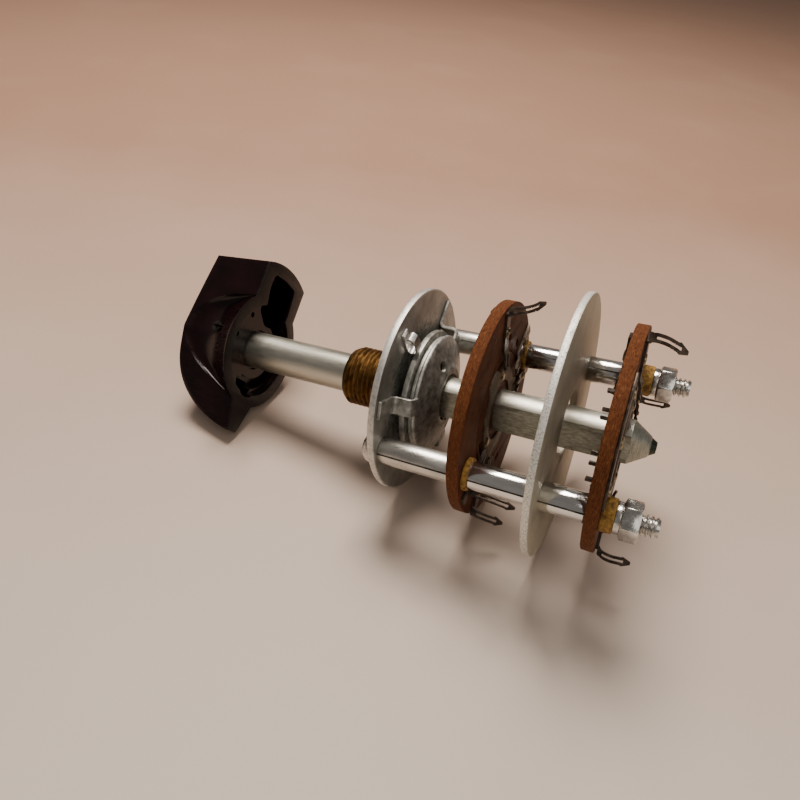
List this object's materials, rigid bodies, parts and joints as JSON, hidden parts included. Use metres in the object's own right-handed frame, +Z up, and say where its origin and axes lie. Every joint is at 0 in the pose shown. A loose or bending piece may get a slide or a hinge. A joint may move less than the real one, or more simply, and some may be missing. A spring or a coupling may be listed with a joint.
{
  "type": "rotary wafer switch",
  "caption": "Panel-mounted rotary wafer switch with a bar pointer knob, a threaded bushing, a ball detent and phenolic contact wafers on tie rods.",
  "frame": {"origin": "on the shaft's axis, in the front plate's front face, where the threaded bushing meets the panel", "axes": "+Y along the shaft towards the rear, so the knob is at -Y; +Z up, and +X is the side nearest the near tie rod"},
  "size_m": [0.0386, 0.0807, 0.0386],
  "materials": {
    "knob_bakelite": "glossy, dark maroon-black moulded phenolic",
    "screw_steel": "blackened",
    "shaft_zinc": "zinc plated, satin, drawn along its length",
    "bushing_brass": "aged brass",
    "plate_zinc": "dull zinc plated stamping",
    "stamped_steel": "plated spring steel",
    "ball_steel": "polished",
    "rod_steel": "zinc plated",
    "spacer_tube": "bright rolled tube",
    "fibre_washer": "amber fibre",
    "nut_steel": "bright nickel plated",
    "shield_aluminium": "dull, lightly oxidised sheet",
    "phenolic": "reddish-brown paper laminate",
    "contact_metal": "silver plated brass, tarnished nearly black",
    "blade_metal": "silver plated brass, tarnished",
    "rivet_brass": "tarnished brass"
  },
  "bodies": {
    "frame": {"ball_cage": "stamped_steel", "bushing": "bushing_brass", "detent_balls": "ball_steel", "detent_spring": "stamped_steel", "front_plate": "plate_zinc", "front_spacer_far": "spacer_tube", "front_spacer_near": "spacer_tube", "mid_spacer_far": "spacer_tube", "mid_spacer_near": "spacer_tube", "mid_washer_far": "fibre_washer", "mid_washer_near": "fibre_washer", "rear_collar_far": "nut_steel", "rear_collar_near": "nut_steel", "rear_spacer_far": "spacer_tube", "rear_spacer_near": "spacer_tube", "rear_washer_far": "fibre_washer", "rear_washer_near": "fibre_washer", "rod_nut_far": "nut_steel", "rod_nut_near": "nut_steel", "shield_disc": "shield_aluminium", "stop_tab": "stamped_steel", "tie_rod_far": "rod_steel", "tie_rod_near": "rod_steel", "wafer_1_eyelets": "rivet_brass", "wafer_1_front_contacts": "contact_metal", "wafer_1_rear_contacts": "contact_metal", "wafer_1_stator": "phenolic", "wafer_2_collector": "contact_metal", "wafer_2_eyelets": "rivet_brass", "wafer_2_front_contacts": "contact_metal", "wafer_2_rear_contacts": "contact_metal", "wafer_2_stator": "phenolic"},
    "rotor": {"index_plate": "stamped_steel", "knob": "knob_bakelite", "knob_set_screw": "screw_steel", "shaft": "shaft_zinc", "shaft_clip": "stamped_steel", "wafer_1_front_blade": "blade_metal", "wafer_1_rear_blade": "blade_metal", "wafer_1_rotor": "phenolic", "wafer_1_rotor_rivets": "rivet_brass", "wafer_2_front_blade": "blade_metal", "wafer_2_rear_blade": "blade_metal", "wafer_2_rotor": "phenolic", "wafer_2_rotor_rivets": "rivet_brass"}
  },
  "joints": [
    {"name": "shaft_turn", "type": "hinge", "parent": "frame", "child": "rotor", "pos_m": [0, 0, 0], "axis": [0, -1, 0], "range_deg": [0, 60]}
  ]
}
